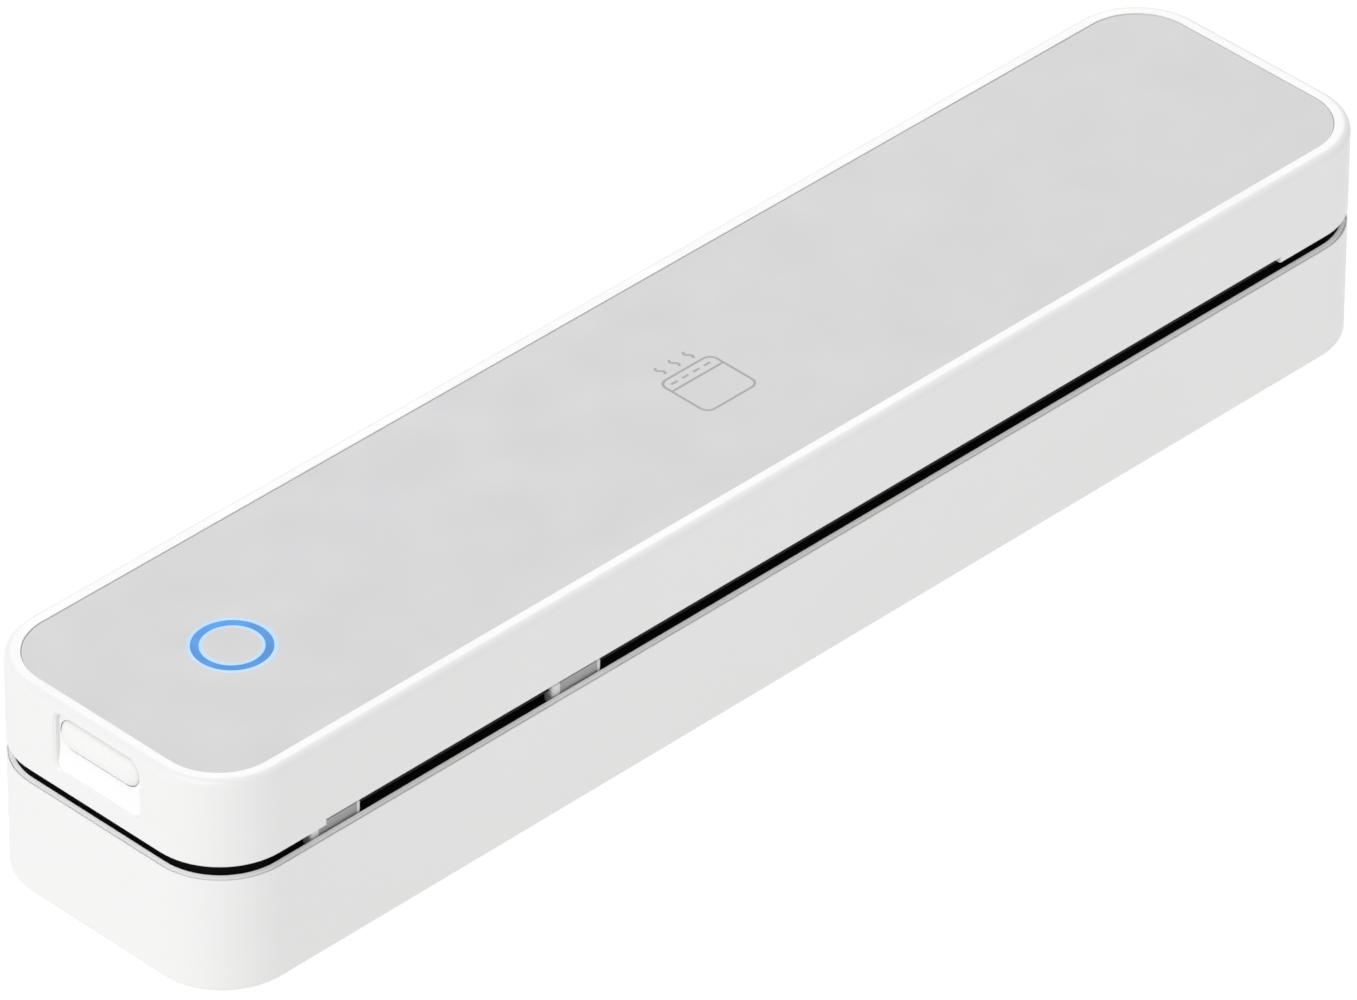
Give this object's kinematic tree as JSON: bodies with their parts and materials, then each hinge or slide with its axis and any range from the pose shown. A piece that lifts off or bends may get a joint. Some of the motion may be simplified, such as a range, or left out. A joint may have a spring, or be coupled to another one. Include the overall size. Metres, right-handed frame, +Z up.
{
  "type": "bag heat sealer",
  "caption": "Slim cordless bag heat sealer: a long rounded base with a heated strip, and an end-hinged arm with a latch, a touch ring and a grey top plate.",
  "frame": {"origin": "centre of the footprint at the height of the surface that the feet stand on", "axes": "+X along the length from the latch end to the hinge end, +Y away from the slot's open front, +Z up"},
  "size_m": [0.3, 0.0642, 0.047],
  "materials": {
    "casing_white": "satin white moulding, lightly glossy",
    "latch_white": "smooth glossy white",
    "plate_grey": "satin light grey plate",
    "ring_blue": "lit translucent blue diffuser",
    "interior_black": "fine-textured black",
    "stop_grey": "smooth mid grey",
    "foot_rubber": "soft dark rubber",
    "pad_silicone": "matt silicone",
    "cover_cloth": "coated glass cloth, fine weave",
    "bare_steel": "plain drawn and pressed steel",
    "clamp_brass": "plain brass",
    "cell_wrap": "heat-shrunk film",
    "dark_moulding": "fine-textured dark grey",
    "board_green": "solder mask over woven glass",
    "lead_red": "silicone insulation",
    "lead_black": "silicone insulation"
  },
  "bodies": {
    "base": {"bag_stop_left": "stop_grey", "bag_stop_middle": "stop_grey", "base_deck": "interior_black", "base_shell": "casing_white", "cell_1": "cell_wrap", "cell_2": "cell_wrap", "cell_cradle": "dark_moulding", "charge_socket": "bare_steel", "cover_strip": "cover_cloth", "deck_screw_1": "bare_steel", "deck_screw_2": "bare_steel", "deck_screw_3": "bare_steel", "deck_screw_4": "bare_steel", "foot_1": "foot_rubber", "foot_2": "foot_rubber", "foot_3": "foot_rubber", "foot_4": "foot_rubber", "harness_base": "lead_black", "heater_carrier": "interior_black", "heater_lead_left": "lead_red", "heater_lead_right": "lead_red", "heating_ribbon": "bare_steel", "hinge_pin": "bare_steel", "hinge_spring": "bare_steel", "latch_catch": "interior_black", "lead_minus": "lead_black", "lead_plus": "lead_red", "main_board": "board_green", "power_stage": "dark_moulding", "ribbon_clamp_left": "clamp_brass", "ribbon_clamp_right": "clamp_brass", "safety_switch": "interior_black"},
    "arm": {"arm_shell": "casing_white", "top_plate": "plate_grey", "light_ring": "ring_blue", "touch_disc": "plate_grey", "touch_board": "board_green", "arm_liner": "interior_black", "press_bar": "bare_steel", "silicone_pad": "pad_silicone", "latch_spring": "bare_steel", "harness_arm": "lead_black", "liner_screw_1": "bare_steel", "liner_screw_2": "bare_steel", "liner_screw_3": "bare_steel", "liner_screw_4": "bare_steel"},
    "latch": {"latch_button": "latch_white", "latch_hook": "bare_steel"},
    "plunger": {"switch_plunger": "interior_black"}
  },
  "joints": [
    {"name": "arm_hinge", "type": "hinge", "parent": "base", "child": "arm", "pos_m": [0.147, 0, 0.027], "axis": [0, 1, 0], "range_deg": [0, 40], "deforming": ["hinge_spring"]},
    {"name": "latch_slide", "type": "slide", "parent": "arm", "child": "latch", "axis": [1, 0, 0], "range_m": [0, 0.0025], "stiffness_N_per_m": 800, "springref_m": -0.0015, "deforming": ["latch_spring"]},
    {"name": "plunger_rise", "type": "slide", "parent": "base", "child": "plunger", "axis": [0, 0, 1], "range_m": [0, 0.0015]}
  ],
  "couplings": [
    {"joint": "plunger_rise", "follows": "arm_hinge", "m_per_rad": 0.002148}
  ]
}
